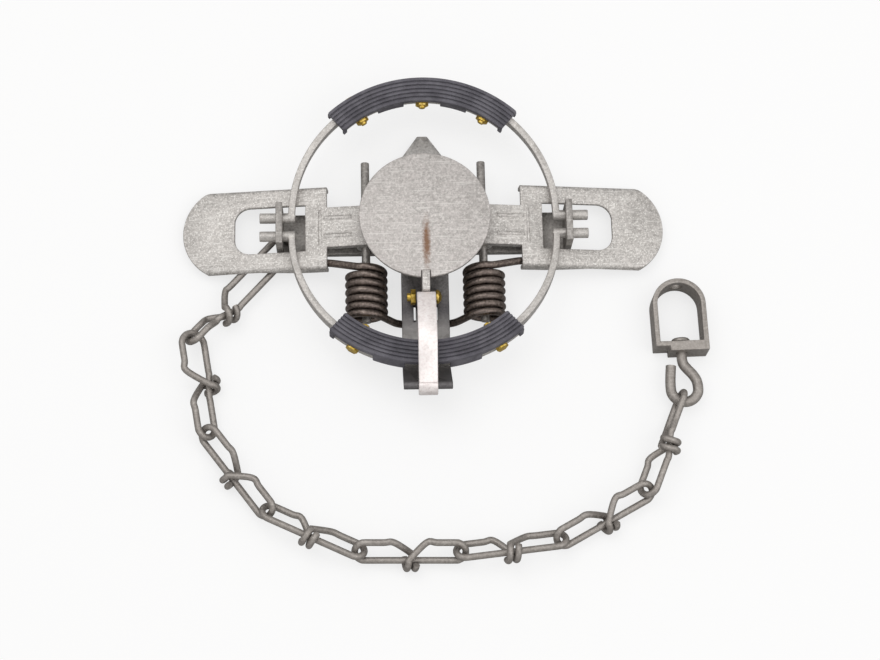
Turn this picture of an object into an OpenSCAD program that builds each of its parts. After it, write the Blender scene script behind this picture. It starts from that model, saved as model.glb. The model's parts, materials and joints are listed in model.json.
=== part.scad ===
// Padded coil-spring foothold trap, shown set, with its chain and swivel.
// Millimetres. X runs along the levers, +Y away from the dog, +Z up.
// The origin is on the ground under the middle of the base strip.

/* [Base] */
// Width of the base strip and of its end posts
base_w = 20.8; // [18:0.1:24]
// Thickness of the base strip and the cross strip
strip_t = 3.2; // [2.6:0.1:3.6]
// Distance of each end post from the middle
post_x = 70; // [68:0.5:76]
// Metal left above the jaw holes in a post
post_cap = 5; // [3:0.1:7]
// Width of the cross strip
cross_w = 23; // [21:0.1:26]
// Reach of the pointed rear tip of the cross strip
rear_tip_y = 50; // [46:0.5:56]
// Diameter of the two rivets that join the strips
rivet_d = 5; // [4:0.1:6]

/* [Jaws] */
// Radius of the jaw arms at the middle of the bar
jaw_r = 64.1; // [62:0.1:65]
// Thickness of the bar in the jaw arms
bar_t = 3.2; // [2.6:0.1:3.6]
// Depth of the jaw arms at the pivot
bar_d = 4.6; // [4:0.1:5]
// Height of the jaw pivots above the ground
pivot_z = 14.5; // [14:0.1:17]
// Angle of the open jaws above the ground
jaw_tilt = 7; // [6:0.5:9]
// Diameter of the jaw tenons
tenon_d = 5; // [4.4:0.1:5.6]
// Reach of the tenons past the posts
tenon_out = 8; // [6:0.5:10]

/* [Pads] */
// Width of the rubber grip face
pad_w = 11.8; // [11.4:0.1:12.4]
// Thickness of the rubber above the jaw channel
pad_t = 2.9; // [2.5:0.1:3.6]
// Thickness of the rubber side flanges
flange_t = 1.1; // [0.8:0.1:1.4]
// Half of the angle that a pad spans
pad_half = 42; // [40:0.5:43]
// Depth of the jaw channel that holds the rubber
channel_d = 6.5; // [6:0.1:7.5]
// Thickness of the channel walls
channel_t = 2.2; // [1.8:0.1:2.4]
// Number of grooves in the grip face
grooves = 5; // [3:1:6]
// Diameter of the pad screws
screw_d = 3; // [2.6:0.1:3.4]

/* [Levers] */
// Width of a lever over its rails
lever_w = 42.4; // [41:0.1:46]
// Thickness of the lever plate
lever_t = 2; // [1.8:0.1:2.2]
// Reach of a lever from its pin to its round end
lever_l = 89; // [87:0.5:93]
// Width of the lever neck over its sides
neck_w = 20.4; // [19.6:0.1:21.6]
// Depth of the rails at their inner end
rail_d = 6; // [5:0.1:6.4]

/* [Springs] */
// Distance of each spring pin from the middle
pin_x = 28.4; // [27.5:0.1:30]
// Diameter of the spring pins
pin_d = 4.1; // [3.6:0.1:4.6]
// Reach of the spring pins behind the base
pin_rear = 34; // [30:0.5:38]
// Diameter of the spring wire
spring_wire = 3.4; // [3:0.1:3.5]
// Mean radius of the coils
coil_r = 8.5; // [8.2:0.1:8.8]
// Whole turns in each coil
coil_turns = 6; // [4:1:6]

/* [Pan and dog] */
// Diameter of the pan
pan_d = 63; // [60:0.5:64]
// Thickness of the pan
pan_t = 2; // [1.6:0.1:2.4]
// Height of the underside of the pan
pan_z = 26; // [25.4:0.1:28]
// Thickness of the pan shank
shank_t = 3.7; // [3:0.1:4.2]
// Diameter of the pan bolt
bolt_d = 4; // [3.4:0.1:4.4]
// Width of the dog
dog_w = 9; // [8:0.1:10]
// Thickness of the dog
dog_t = 2.4; // [2:0.1:2.8]

/* [Chain and swivel] */
// Diameter of the chain wire
chain_wire = 3.2; // [2.8:0.1:3.4]
// Half of the width of a chain loop, at the middle of its wire
loop_half = 4.6; // [4.4:0.1:5]
// Length of a chain link from joint to joint
link_l = 47.2; // [46.2:0.2:49]
// Diameter of the hook bar
hook_d = 5; // [4.6:0.1:5.2]
// Width of the swivel strap band
strap_w = 13; // [12:0.5:14]
// Thickness of the swivel strap band
strap_t = 2.4; // [2:0.1:2.8]
// Inner width of the swivel strap
strap_inner = 21; // [20:0.2:23]
// Diameter of the hole in the round end of the strap
strap_hole_d = 6; // [5:0.1:7]

/* [Hidden] */
$fn = 64;

galvanised = "#b9b8b6";
dark_steel = "#5b5755";
spring_steel = "#3b3431";
rubber = "#3f3f44";
brass = "#c9a545";
chain_steel = "#85817c";

// Clearances: a running pin, a pressed pin, and faces of pieces that move past each other
run_gap = 0.06;
press_gap = 0.02;
face_gap = 0.4;
eps = 0.01;

// Base: strip on the ground, cross strip on top of it, posts at both ends
cross_z = strip_t;
cross_top = cross_z + strip_t;
tenon_hole_r = tenon_d / 2 + run_gap;
post_h = pivot_z + tenon_hole_r + post_cap;
pad_face = 1.5 + pad_t;
close_gap = 0.25;
pivot_y = pad_face + close_gap;
rivet_y = 5.5;
rivet_head_r = rivet_d / 2 + 1.5;
rivet_head_h = 1.6;

// Pads: a rubber cap on a steel channel in the middle of each jaw
pad_mid_r = jaw_r - 1;
pad_out_r = pad_mid_r + pad_w / 2;
pad_in_r = pad_mid_r - pad_w / 2;
channel_out_r = pad_out_r - flange_t - 0.1;
channel_in_r = pad_in_r + flange_t + 0.1;
channel_top = 1.5;
channel_low = channel_top - channel_d;
channel_floor = channel_low + channel_t;
channel_half = pad_half - 1;
trough_half = channel_half - 2.5;
pad_gap = 0.1;
screw_at = [-31, 0, 31];
window_half = 9;
screw_w = -1.4;
hex_across = screw_d + 2.6;
hex_r = hex_across / 2 / cos(30);
head_h = 2;
nut_h = 2.4;
// A flat nut face stands off the hollow wall of the channel
nut_seat = hex_r * hex_r / 2 / channel_in_r + 0.03;

// Levers: lugs on the base carry the pins, and each lever turns on its pin
spring_ground = 0.3;
coil_z = coil_r + spring_wire / 2 + spring_ground;
pin_z = coil_z + 0.7;
lug_r = pin_d / 2 + 1.3;
lug_t = 3;
lever_under = lug_r + face_gap;
lever_top = lever_under + lever_t;
lug_y = neck_w / 2 - lever_t - face_gap - lug_t;
slot_half = base_w / 2 + 1.3;
slot_in = post_x - 12.8 - pin_x;
slot_out = post_x + 21.8 - pin_x;
slot_taper = slot_out - 10.5;
slot_corner = 7.5;
wide_in = 18.2;
rail_low = lever_t + eps;
rail_full = slot_taper - 2;
end_r = 24;
fold_r = 2.2;
ear_r = pin_d / 2 + 2.3;
// Slope of a set lever: its top passes just under the jaw arms
arm_under = pivot_z + (slot_half - pivot_y) * sin(jaw_tilt) - bar_d / 2 * cos(jaw_tilt);
arm_dx = jaw_r - pin_x;
arm_dz = arm_under - 0.7 - pin_z;
lever_slope = asin(lever_top / norm([arm_dx, arm_dz])) - atan(arm_dz / arm_dx);

// Springs: the coil lies in front of the neck, one arm under the rail, one under the cross strip
coil_pitch = spring_wire + 0.5;
coil_y = -21.6;
coil_start = 29;
coil_stop = -60;
coil_sweep = coil_start - coil_stop + 360 * coil_turns;
rings_per_turn = 8;
spring_sides = 6;
spring_end_y = coil_y - coil_pitch * coil_sweep / 360;
pin_front = spring_end_y - 2;
// Groove under the cross strip that holds the spring ends
groove_half = spring_wire / 2 + 0.5;
groove_top = spring_ground + spring_wire + 0.4;

// Dog: hooked round the bar at the top of the dog post, over the front pad
post_bar_r = 1.9;
hook_in_r = post_bar_r + 0.35;
hook_out_r = hook_in_r + dog_t;
pad_top_z = pivot_z + pad_out_r * sin(jaw_tilt) + pad_face * cos(jaw_tilt);
dog_y = -(pivot_y + pad_out_r + 9.6);
dog_z = pad_top_z - 1.2;
post_foot_y = dog_y + 15;
foot_in_y = post_foot_y + 9;
dog_rise = 7.2;
dog_crest = 9.6;
dog_crest_y = -(pivot_y + pad_out_r - 2.4);
dog_tip_y = -37.4;
dog_tip_z = pan_z - 0.6;
window_w = dog_w + 1.6;
window_drop = hook_out_r + 0.7;

// Pan: a disc welded to a shank that turns on the pan bolt between two ears
pan_y = 1;
bolt_y = -35.5;
bolt_z = 12;
nose_y = dog_tip_y + face_gap;
nose_z = pan_z + 2.6;
pan_notch = 3.4;
pan_front = pan_y - pan_d / 2 + pan_notch;
ear_gap = 0.6;
ear_t = 2.3;
ear_x = shank_t / 2 + ear_gap;
ear_half = 4.6;
slit_w = 1;
slit_l = 8;
bolt_head_r = 3.4;
bolt_head_h = 3;
bolt_end = 1.8;

// Chain: the joints lie on a loose curve and the links lean to one side and the other by turns
chain_headings = [-132.6, -80.7, -53.1, -25.1, -1, 6.1, 28.5, 67.4];
lean = 38;
first_rolls = [180, 148, lean, -lean, lean, -lean, lean, -lean];
second_rolls = [232, 180 - lean, lean, -lean, lean, -lean, lean, -80];
tip_over = chain_wire / 2 + 0.6;
wrap_r = chain_wire + 0.7;
wrap_x = 1.9;
wrap_drift = 0.012;
wrap_turns = [60, 265];
wrap_steps = 9;
knot_half = 4.5;
chain_sides = 6;
chain_z = loop_half * sin(lean) + wrap_r + chain_wire / 2 + 0.1;
// The first link reaches round the left post: one wire through a hole in it, one in front of it
first_joint = [-post_x, -8, chain_z];
first_loop_l = 41;
first_tail_l = 20.9;
first_half = 5.2;
first_over = first_half + 0.75;
first_loop_z = strip_t + chain_wire / 2 + 0.35;
first_arc = first_joint - (first_over - first_half) * heading(chain_headings[0]);
chain_hole_y = first_arc.y + sqrt(first_half ^ 2 - (first_joint.x - first_arc.x) ^ 2);
chain_hole_r = chain_wire / 2 + 0.95;
// The last link stands on edge round the hook bar
last_half = (hook_d + chain_wire) / 2 + 0.9;
last_over = (hook_d + chain_wire) / 2 + 0.5;
joint_lengths = [for (i = [0:7]) i == 0 ? first_loop_l + first_tail_l : link_l];
function heading(a) = [cos(a), sin(a), 0];
function joint_at(i) = i == 0 ? first_joint
    : joint_at(i - 1) + joint_lengths[i - 1] * heading(chain_headings[i - 1]);

// Swivel: a headed hook turns in the flat end of a D-shaped strap
hook_joint = joint_at(8);
bow_r = 6.6;
swivel_heading = 91.5;
bow_at = hook_joint + bow_r * heading(chain_headings[7]);
hook_gap = 0.1;
strap_outer = strap_inner + 2 * strap_t;
strap_straight = 18.5;
strap_hole_r = hook_d / 2 + hook_gap;
hook_z = strap_w / 2 + 0.3;
hook_reach = 17.4;
hook_head_r = hook_d / 2 + 2;
hook_head_h = 2.4;

// Vectors and swept tubes
function unit(v) = v / norm(v);
function tangents(p) = [for (i = [0:len(p) - 1])
    unit(p[min(i + 1, len(p) - 1)] - p[max(i - 1, 0)])];
function square_to(t) = unit(cross(t, abs(t.z) < 0.9 ? [0, 0, 1] : [1, 0, 0]));
function carried(n, t) = unit(n - (n * t) * t);
function normals(t) = [for (i = 0, n = square_to(t[0]); i < len(t);
    i = i + 1, n = i < len(t) ? carried(n, t[i]) : n) n];
// Points all along a path, at most a step apart
function filled(p, step) = [for (i = [0:len(p) - 2]) let (n = ceil(norm(p[i + 1] - p[i]) / step))
    for (k = [0:n - 1]) p[i] + (p[i + 1] - p[i]) * k / n, p[len(p) - 1]];
// Least gap of a tube to itself, on points 0.8 mm apart and between any two that lie 12 or more along the tube
function self_gap(p, d) = let (q = filled(p, 0.8), last = len(q) - 1)
    min([for (i = [0:last - 12]) for (j = [i + 12:last]) norm(q[i] - q[j])]) - d;

module tube(p, d, sides) {
    t = tangents(p);
    n = normals(t);
    last = (len(p) - 1) * sides;
    points = [for (i = [0:len(p) - 1]) for (s = [0:sides - 1])
        p[i] + d / 2 * (cos(360 * s / sides) * n[i] + sin(360 * s / sides) * cross(t[i], n[i]))];
    walls = [for (i = [0:len(p) - 2]) for (s = [0:sides - 1])
        let (a = i * sides + s, b = i * sides + (s + 1) % sides)
        each [[a, b + sides, b], [a, a + sides, b + sides]]];
    near_cap = [for (s = [1:sides - 2]) [0, s, s + 1]];
    far_cap = [for (s = [1:sides - 2]) [last, last + s + 1, last + s]];
    polyhedron(points = points, faces = concat(walls, near_cap, far_cap));
}

// A ring sector about Z, from the middle of the sector to both sides
module sector(middle, half) {
    rotate([0, 0, middle - half]) rotate_extrude(angle = 2 * half, $fn = 128) children();
}

// A bar along X or Y, centred
module bar_x(r, l) {
    rotate([0, 90, 0]) cylinder(r = r, h = l, center = true);
}
module bar_y(r, l) {
    rotate([90, 0, 0]) cylinder(r = r, h = l, center = true);
}

// A hexagon of the pad and pan fasteners
module hexagon(r, h) {
    cylinder(r = r, h = h, $fn = 6);
}

// Base

module base_strip() {
    half = post_x + strip_t / 2;
    color(dark_steel) difference() {
        union() {
            translate([-half, -base_w / 2, 0]) cube([2 * half, base_w, strip_t]);
            for (side = [-1, 1]) {
                translate([side * post_x - strip_t / 2, -base_w / 2, 0]) cube([strip_t, base_w, post_h]);
                for (edge = [-1, 1]) translate([side * pin_x, edge * (lug_y + lug_t / 2), 0]) lug();
            }
        }
        for (side = [-1, 1]) {
            for (jaw = [-1, 1]) translate([side * post_x, jaw * pivot_y, pivot_z])
                bar_x(tenon_hole_r, 2 * strip_t);
            translate([side * pin_x, 0, pin_z]) bar_y(pin_d / 2 + press_gap, base_w);
        }
        translate([-post_x, chain_hole_y, first_loop_z]) bar_x(chain_hole_r, strip_t + 1);
        for (edge = [-1, 1]) translate([0, edge * rivet_y, -1])
            cylinder(r = rivet_d / 2 + press_gap, h = strip_t + 2);
    }
}

module lug() {
    translate([0, 0, pin_z]) bar_y(lug_r, lug_t);
    translate([-lug_r, -lug_t / 2, strip_t - 1]) cube([2 * lug_r, lug_t, pin_z - strip_t + 1]);
}

module cross_strip() {
    slant = unit([dog_y - post_foot_y, dog_z - strip_t]);
    across = [slant.y, -slant.x] * strip_t;
    foot = [post_foot_y, 0];
    top = [dog_y, dog_z];
    color(dark_steel) {
        difference() {
            union() {
                rotate([90, 0, 90]) linear_extrude(cross_w, center = true) polygon([
                    [rear_tip_y, cross_z], [rear_tip_y, cross_top],
                    [foot_in_y + 8, cross_top], [foot_in_y + 1, strip_t], [post_foot_y + 1.2, strip_t],
                    top + across / 2, top - across / 2,
                    foot - [1.6, 0], foot, [foot_in_y, 0], [foot_in_y + 7, cross_z]]);
                for (side = [-1, 1]) translate([side * (ear_x + ear_t / 2), bolt_y, 0]) pan_ear();
            }
            for (side = [-1, 1]) translate([side * cross_w / 2, rear_tip_y, 0]) rear_corner(side);
            translate([0, dog_y, dog_z]) dog_window(slant);
            translate([0, bolt_y, bolt_z]) bar_x(bolt_d / 2 + press_gap, cross_w);
            for (side = [-1, 1]) translate([side * (ear_x + ear_t + slit_w / 2), bolt_y - 10.5 + slit_l / 2, 0])
                cube([slit_w, slit_l, 2 * cross_top + 2], center = true);
            for (edge = [-1, 1]) translate([0, edge * rivet_y, 0])
                cylinder(r = rivet_d / 2 + press_gap, h = cross_top + 1);
            translate([-cross_w, spring_end_y - groove_half, 0]) cube([2 * cross_w, 2 * groove_half, groove_top]);
        }
        translate([0, dog_y, dog_z]) bar_x(post_bar_r, cross_w);
    }
}

module pan_ear() {
    translate([0, 0, bolt_z]) bar_x(ear_half, ear_t);
    translate([-ear_t / 2, -ear_half, cross_top - 1]) cube([ear_t, 2 * ear_half, bolt_z - cross_top + 1]);
}

// The cut that points one side of the rear tip, leaving a short flat apex
module rear_corner(side) {
    depth = 13;
    linear_extrude(3 * cross_top, center = true)
        polygon([[1 * side, 1], [1 * side, -depth], [0, -depth], [-side * (cross_w / 2 - 2.4), 0],
            [-side * (cross_w / 2 - 2.4), 1]]);
}

// The opening below the bar, where the dog's hook passes through the post
module dog_window(slant) {
    across = [slant.y, -slant.x] * 6;
    low = -slant * window_drop;
    high = slant * 6;
    rotate([90, 0, 90]) linear_extrude(window_w, center = true)
        polygon([high + across, high - across, low - across, low + across]);
}

module centre_rivets() {
    color(dark_steel) for (edge = [-1, 1]) translate([0, edge * rivet_y, 0]) {
        cylinder(r = rivet_d / 2, h = cross_top + 0.5);
        translate([0, 0, cross_top + press_gap]) intersection() {
            cylinder(r = rivet_head_r, h = rivet_head_h);
            translate([0, 0, rivet_head_h - rivet_head_r * 1.6]) sphere(r = rivet_head_r * 1.6);
        }
    }
}

// Levers, drawn along +X from the pin and then sloped and placed

module lever_outline() {
    intersection() {
        union() {
            translate([wide_in, -lever_w / 2]) square([lever_l - wide_in, lever_w]);
            translate([-lug_r, -neck_w / 2]) square([wide_in + lug_r + 1, neck_w]);
        }
        union() {
            translate([lever_l - end_r, 0]) circle(r = end_r, $fn = 128);
            translate([-10, -lever_w]) square([lever_l - end_r + 10, 2 * lever_w]);
        }
    }
}

module lever_slot() {
    corner_x = slot_out - slot_corner;
    corner_y = slot_half - slot_corner;
    translate([slot_in, -slot_half]) square([corner_x - slot_in, 2 * slot_half]);
    translate([corner_x - eps, -corner_y]) square([slot_corner + eps, 2 * corner_y]);
    for (side = [-1, 1]) translate([corner_x, side * corner_y]) circle(r = slot_corner);
}

// Cross-section of the folded edge of a rail, on the +Y side, below the top of the plate
module rail_section(width, depth) {
    translate([width / 2 - lever_t, -depth]) square([lever_t, depth - fold_r]);
    translate([width / 2 - fold_r, -fold_r]) intersection() {
        circle(r = fold_r);
        square(fold_r);
    }
    translate([width / 2 - lever_t, -fold_r]) square([max(lever_t - fold_r, eps), fold_r]);
}

module lever_rail(side) {
    mirror([0, side < 0 ? 1 : 0, 0]) intersection() {
        translate([wide_in, 0, lever_top]) rotate([90, 0, 90])
            linear_extrude(lever_l - wide_in - 14.5) rail_section(lever_w, rail_d);
        rotate([90, 0, 0]) linear_extrude(2 * lever_w, center = true) polygon([
            [wide_in, lever_top + 1], [wide_in, lever_top - rail_d],
            [wide_in + 14, lever_top - rail_d + 0.4], [rail_full, lever_top - rail_low],
            [lever_l - 14.5, lever_top - rail_low + 0.4], [lever_l - 14.5, lever_top + 1]]);
    }
}

// Side of the neck, which turns down round the pin
module neck_side(side) {
    translate([0, side * (neck_w / 2 - lever_t / 2), 0]) {
        bar_y(ear_r, lever_t);
        translate([-ear_r, -lever_t / 2, 0]) cube([2 * ear_r, lever_t, lever_top - 1]);
        translate([0, -lever_t / 2, lever_under - 2]) cube([wide_in, lever_t, 2 + lever_t / 2]);
    }
}

// Pressed ribs on top of the neck: one crosswise and two lengthwise
module neck_ribs() {
    rib_h = 0.5;
    translate([wide_in + 2.6, -neck_w / 2 + 1.5, lever_top - eps]) cube([1.4, neck_w - 3, rib_h]);
    for (side = [-1, 1]) translate([wide_in - 12, side * 4.6 - 0.9, lever_top - eps])
        cube([13.4, 1.8, rib_h]);
}

module lever() {
    difference() {
        union() {
            translate([0, 0, lever_under]) linear_extrude(lever_t) difference() {
                lever_outline();
                lever_slot();
            }
            for (side = [-1, 1]) {
                lever_rail(side);
                neck_side(side);
            }
            neck_ribs();
        }
        for (side = [-1, 1]) edge_round(side);
        bar_y(pin_d / 2 + run_gap, neck_w + 2);
    }
}

// Rounds the folded outer edge of a rail
module edge_round(side) {
    translate([wide_in - 1, side * (lever_w / 2 - fold_r), lever_top - fold_r])
        rotate([90, 0, 90]) linear_extrude(lever_l) difference() {
            translate([side < 0 ? -fold_r - 1 : 0, 0]) square(fold_r + 1);
            circle(r = fold_r);
        }
}

module left_lever() {
    color(galvanised) translate([-pin_x, 0, pin_z]) mirror([1, 0, 0]) rotate([0, lever_slope, 0]) lever();
}

module right_lever() {
    color(galvanised) translate([pin_x, 0, pin_z]) rotate([0, lever_slope, 0]) lever();
}

module spring_pin(side) {
    color(dark_steel) translate([side * pin_x, (pin_rear + pin_front) / 2, pin_z])
        bar_y(pin_d / 2, pin_rear - pin_front);
}

module left_spring_pin() {
    spring_pin(-1);
}

module right_spring_pin() {
    spring_pin(1);
}

// Springs: a lever arm, the coil, and an arm that ends under the cross strip

function coil_point(a) = [coil_r * sin(a), coil_y - coil_pitch * (coil_start - a) / 360, coil_r * cos(a)];
// Height of the lever's underside above the coil axis, at a distance from the pin
function rail_under(x) = pin_z - coil_z + lever_under / cos(lever_slope) - x * tan(lever_slope);
function spring_path() = let (
    bend_x = wide_in + 0.4,
    arm_y = -lever_w / 2 + lever_t + spring_wire / 2 + 0.6,
    arm_drop = spring_wire / 2 / cos(lever_slope) + 0.7,
    bend = [bend_x, arm_y, rail_under(bend_x) - arm_drop],
    end = [bend_x + 16, arm_y, rail_under(bend_x + 16) - arm_drop],
    begin = coil_point(coil_start),
    leave = coil_point(coil_stop - 360 * coil_turns),
    down = [-cos(coil_stop), 0, sin(coil_stop)],
    low = spring_wire / 2 + spring_ground - coil_z,
    knee = leave + down * (low - leave.z) / down.z,
    steps = round(coil_sweep / 360 * rings_per_turn))
    [end, end + (bend - end) * 0.6, bend + (end - bend) * 0.16, bend + (begin - bend) * 0.12,
        begin + (bend - begin) * 0.4,
        for (i = [0:steps]) coil_point(coil_start - coil_sweep * i / steps),
        leave + (knee - leave) * 0.55, leave + (knee - leave) * 0.85 - [0.4, 0, 0],
        [knee.x - 2.2, knee.y, low], [knee.x - 5, knee.y, low], [knee.x - 9, knee.y, low]];

echo("least gap of a spring to itself", self_gap(spring_path(), spring_wire));

module spring() {
    tube([for (p = spring_path()) p + [0, 0, coil_z]], spring_wire, spring_sides);
}

module left_spring() {
    color(spring_steel) translate([-pin_x, 0, 0]) mirror([1, 0, 0]) spring();
}

module right_spring() {
    color(spring_steel) translate([pin_x, 0, 0]) spring();
}

// Jaws, drawn open and level on +Y with the pivot on X, then tilted and placed

module place_jaw(turn) {
    rotate([0, 0, turn]) translate([0, pivot_y, pivot_z]) rotate([jaw_tilt, 0, 0]) children();
}

module jaw_side_view() {
    polygon([[-1, -bar_d / 2], [4, -bar_d / 2], [pad_mid_r * cos(pad_half) - 2, channel_low],
        [pad_out_r, channel_low], [pad_out_r, channel_top], [pad_mid_r * cos(pad_half) - 2, channel_top],
        [4, bar_d / 2], [-1, bar_d / 2]]);
}

module jaw() {
    arm_half = (90 - channel_half + 1) / 2;
    intersection() {
        union() {
            for (middle = [arm_half, 180 - arm_half]) sector(middle, arm_half)
                translate([jaw_r - bar_t / 2, -10]) square([bar_t, 20]);
            difference() {
                sector(90, channel_half) translate([channel_in_r, channel_low])
                    square([channel_out_r - channel_in_r, channel_d]);
                sector(90, trough_half) translate([channel_in_r + channel_t, channel_floor])
                    square([channel_out_r - channel_in_r - 2 * channel_t, channel_d]);
                at_screws() rotate([-90, 0, 0]) cylinder(r = screw_d / 2 + press_gap, h = 2 * jaw_r);
            }
        }
        rotate([90, 0, 90]) linear_extrude(4 * jaw_r, center = true) jaw_side_view();
    }
    for (side = [-1, 1]) {
        inner = jaw_r - bar_t / 2;
        outer = post_x + strip_t / 2 + tenon_out;
        translate([side * (inner + outer) / 2, 0, 0]) bar_x(tenon_d / 2, outer - inner);
    }
}

// Turns a radial screw axis along +Y to each screw position
module at_screws() {
    for (a = screw_at) rotate([0, 0, a]) translate([0, 0, screw_w]) children();
}

module pad() {
    pitch = pad_w / (grooves + 1);
    groove_w = 0.8;
    groove_d = 0.9;
    difference() {
        union() {
            sector(90, pad_half) difference() {
                translate([pad_in_r, channel_top + pad_gap]) square([pad_w, pad_t - pad_gap]);
                for (i = [1:grooves]) translate([pad_in_r + i * pitch - groove_w / 2, pad_face - groove_d])
                    square([groove_w, groove_d + 1]);
            }
            sector(90, pad_half) for (r = [pad_in_r, pad_out_r - flange_t])
                translate([r, channel_low + 1.2]) square([flange_t, channel_d - 1]);
            sector(90, trough_half - 0.3) translate([channel_in_r + channel_t + pad_gap, channel_floor + pad_gap])
                square([channel_out_r - channel_in_r - 2 * channel_t - 2 * pad_gap, channel_d]);
        }
        at_screws() rotate([-90, 0, 0]) cylinder(r = screw_d / 2 + press_gap, h = 2 * jaw_r);
        for (a = screw_at) sector(90 + a, window_half) for (r = [pad_in_r - 1, pad_out_r - flange_t - 0.05])
            translate([r, channel_low]) square([flange_t + 1.05, channel_d]);
    }
}

// Pad screws: heads outside the jaw, nuts inside it
module pad_screws() {
    at_screws() rotate([-90, 0, 0]) {
        translate([0, 0, channel_in_r - nut_h - 1.2]) cylinder(r = screw_d / 2,
            h = channel_out_r - channel_in_r + nut_h + 1.2 + 0.5);
        translate([0, 0, channel_out_r + press_gap]) hexagon(hex_r, head_h);
    }
}

module pad_nuts() {
    at_screws() rotate([-90, 0, 0]) translate([0, 0, channel_in_r - nut_h - nut_seat]) difference() {
        hexagon(hex_r, nut_h);
        translate([0, 0, -1]) cylinder(r = screw_d / 2 + press_gap, h = nut_h + 2);
    }
}

module front_jaw() {
    color(galvanised) place_jaw(180) jaw();
}

module rear_jaw() {
    color(galvanised) place_jaw(0) jaw();
}

module front_pad() {
    color(rubber) place_jaw(180) pad();
}

module rear_pad() {
    color(rubber) place_jaw(0) pad();
}

module front_pad_screws() {
    color(brass) place_jaw(180) pad_screws();
}

module rear_pad_screws() {
    color(brass) place_jaw(0) pad_screws();
}

module front_pad_nuts() {
    color(brass) place_jaw(180) pad_nuts();
}

module rear_pad_nuts() {
    color(brass) place_jaw(0) pad_nuts();
}

// Pan

module pan() {
    color(galvanised) translate([0, pan_y, pan_z]) difference() {
        cylinder(d = pan_d, h = pan_t, $fn = 128);
        translate([-shank_t / 2 - 0.4, -pan_d / 2 - 1, -1]) cube([shank_t + 0.8, pan_notch + 1, pan_t + 2]);
    }
}

module pan_shank() {
    color(galvanised) difference() {
        union() {
            translate([0, bolt_y, bolt_z]) bar_x(ear_half, shank_t);
            rotate([90, 0, 90]) linear_extrude(shank_t, center = true) polygon([
                [bolt_y - 3.6, bolt_z], [nose_y, bolt_z + 8], [nose_y, nose_z],
                [pan_front - 0.2, nose_z], [pan_front - 0.2, pan_z], [-3, pan_z], [-3, pan_z - 3],
                [-12, pan_z - 7], [bolt_y + 4, bolt_z]]);
        }
        translate([0, bolt_y, bolt_z]) bar_x(bolt_d / 2 + run_gap, 2 * shank_t);
    }
}

module pan_bolt() {
    head_x = ear_x + ear_t + press_gap;
    tail_x = -(ear_x + ear_t + nut_h + press_gap + bolt_end);
    color(brass) translate([0, bolt_y, bolt_z]) {
        translate([(head_x + tail_x) / 2, 0, 0]) bar_x(bolt_d / 2, head_x - tail_x + eps);
        translate([head_x, 0, 0]) rotate([0, 90, 0]) intersection() {
            cylinder(r = bolt_head_r, h = bolt_head_h);
            translate([0, 0, bolt_head_h - 4.2]) sphere(r = 4.2);
        }
    }
}

module pan_nut() {
    color(brass) translate([-(ear_x + ear_t + press_gap), bolt_y, bolt_z]) rotate([0, -90, 0]) difference() {
        hexagon(bolt_d / 2 + 2, nut_h);
        translate([0, 0, -1]) cylinder(r = bolt_d / 2 + press_gap, h = nut_h + 2);
    }
}

// Dog: a strip over the pad, hooked round the bar of the dog post

module dog() {
    root = [-1, (hook_in_r + hook_out_r) / 2];
    rise = [dog_crest_y - dog_y, dog_rise];
    crest = [rise.x + 6, dog_crest];
    over = [rise.x + 14.5, dog_crest];
    tip = [dog_tip_y - dog_y, dog_tip_z - dog_z];
    half = [0, dog_t / 2];
    root_half = half * 0.7;
    color(galvanised) translate([0, dog_y, dog_z]) rotate([90, 0, 90]) union() {
        linear_extrude(dog_w, center = true) polygon([root + root_half, rise + half, crest + half, over + half,
            tip + half, tip - half, over - half, crest - half, rise - half, root - root_half]);
        difference() {
            cylinder(r = hook_out_r, h = dog_w, center = true);
            cylinder(r = hook_in_r, h = 2 * dog_w, center = true);
            linear_extrude(2 * dog_w, center = true) polygon([[0, 0], [0, 9], [9, 9], [9, -9], [2, -9]]);
        }
    }
}

// Chain

// A point of a loop: x along the link, s across the loop, turned about X by the loop's roll
function across(x, s, roll) = [x, s * cos(roll), s * sin(roll)];

// One loop, from the spine out round the tip and back. It is c wide each way, reaches over past its
// joint, and sinks by drop soon after the knot.
function loop_path(side, l, roll, drop, c, over) = let (
    arc_x = l + over - c,
    leave_x = knot_half + 3,
    level_x = leave_x + 5,
    flat = [[knot_half, -c], [leave_x, -c], [level_x, -c], [arc_x, -c],
        for (a = [-60:30:60]) [arc_x + c * cos(a), c * sin(a)], [arc_x, c], [level_x, c], [leave_x, c]])
    [for (p = flat) across(side * p.x, p.y, roll)
        - [0, 0, drop * min(1, max(0, p.x - leave_x) / (level_x - leave_x))]];

// The end of the wire, which crosses the knot and wraps round the far half of the spine
function wrap_path(side, rolls, from, to) = let (spine = unit(to - from)) [for (i = [0:wrap_steps])
    let (turn = wrap_turns[0] + (wrap_turns[1] - wrap_turns[0]) * i / wrap_steps,
        share = 0.5 - side * (wrap_x + wrap_drift * (turn - 180)) / (2 * knot_half),
        out = carried(across(0, 1, rolls[0] + (rolls[1] - rolls[0]) * share), spine))
    from + (to - from) * share + wrap_r * (cos(turn) * out + side * sin(turn) * cross(spine, out))];

function reversed(p) = [for (i = [len(p) - 1:-1:0]) p[i]];

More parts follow.
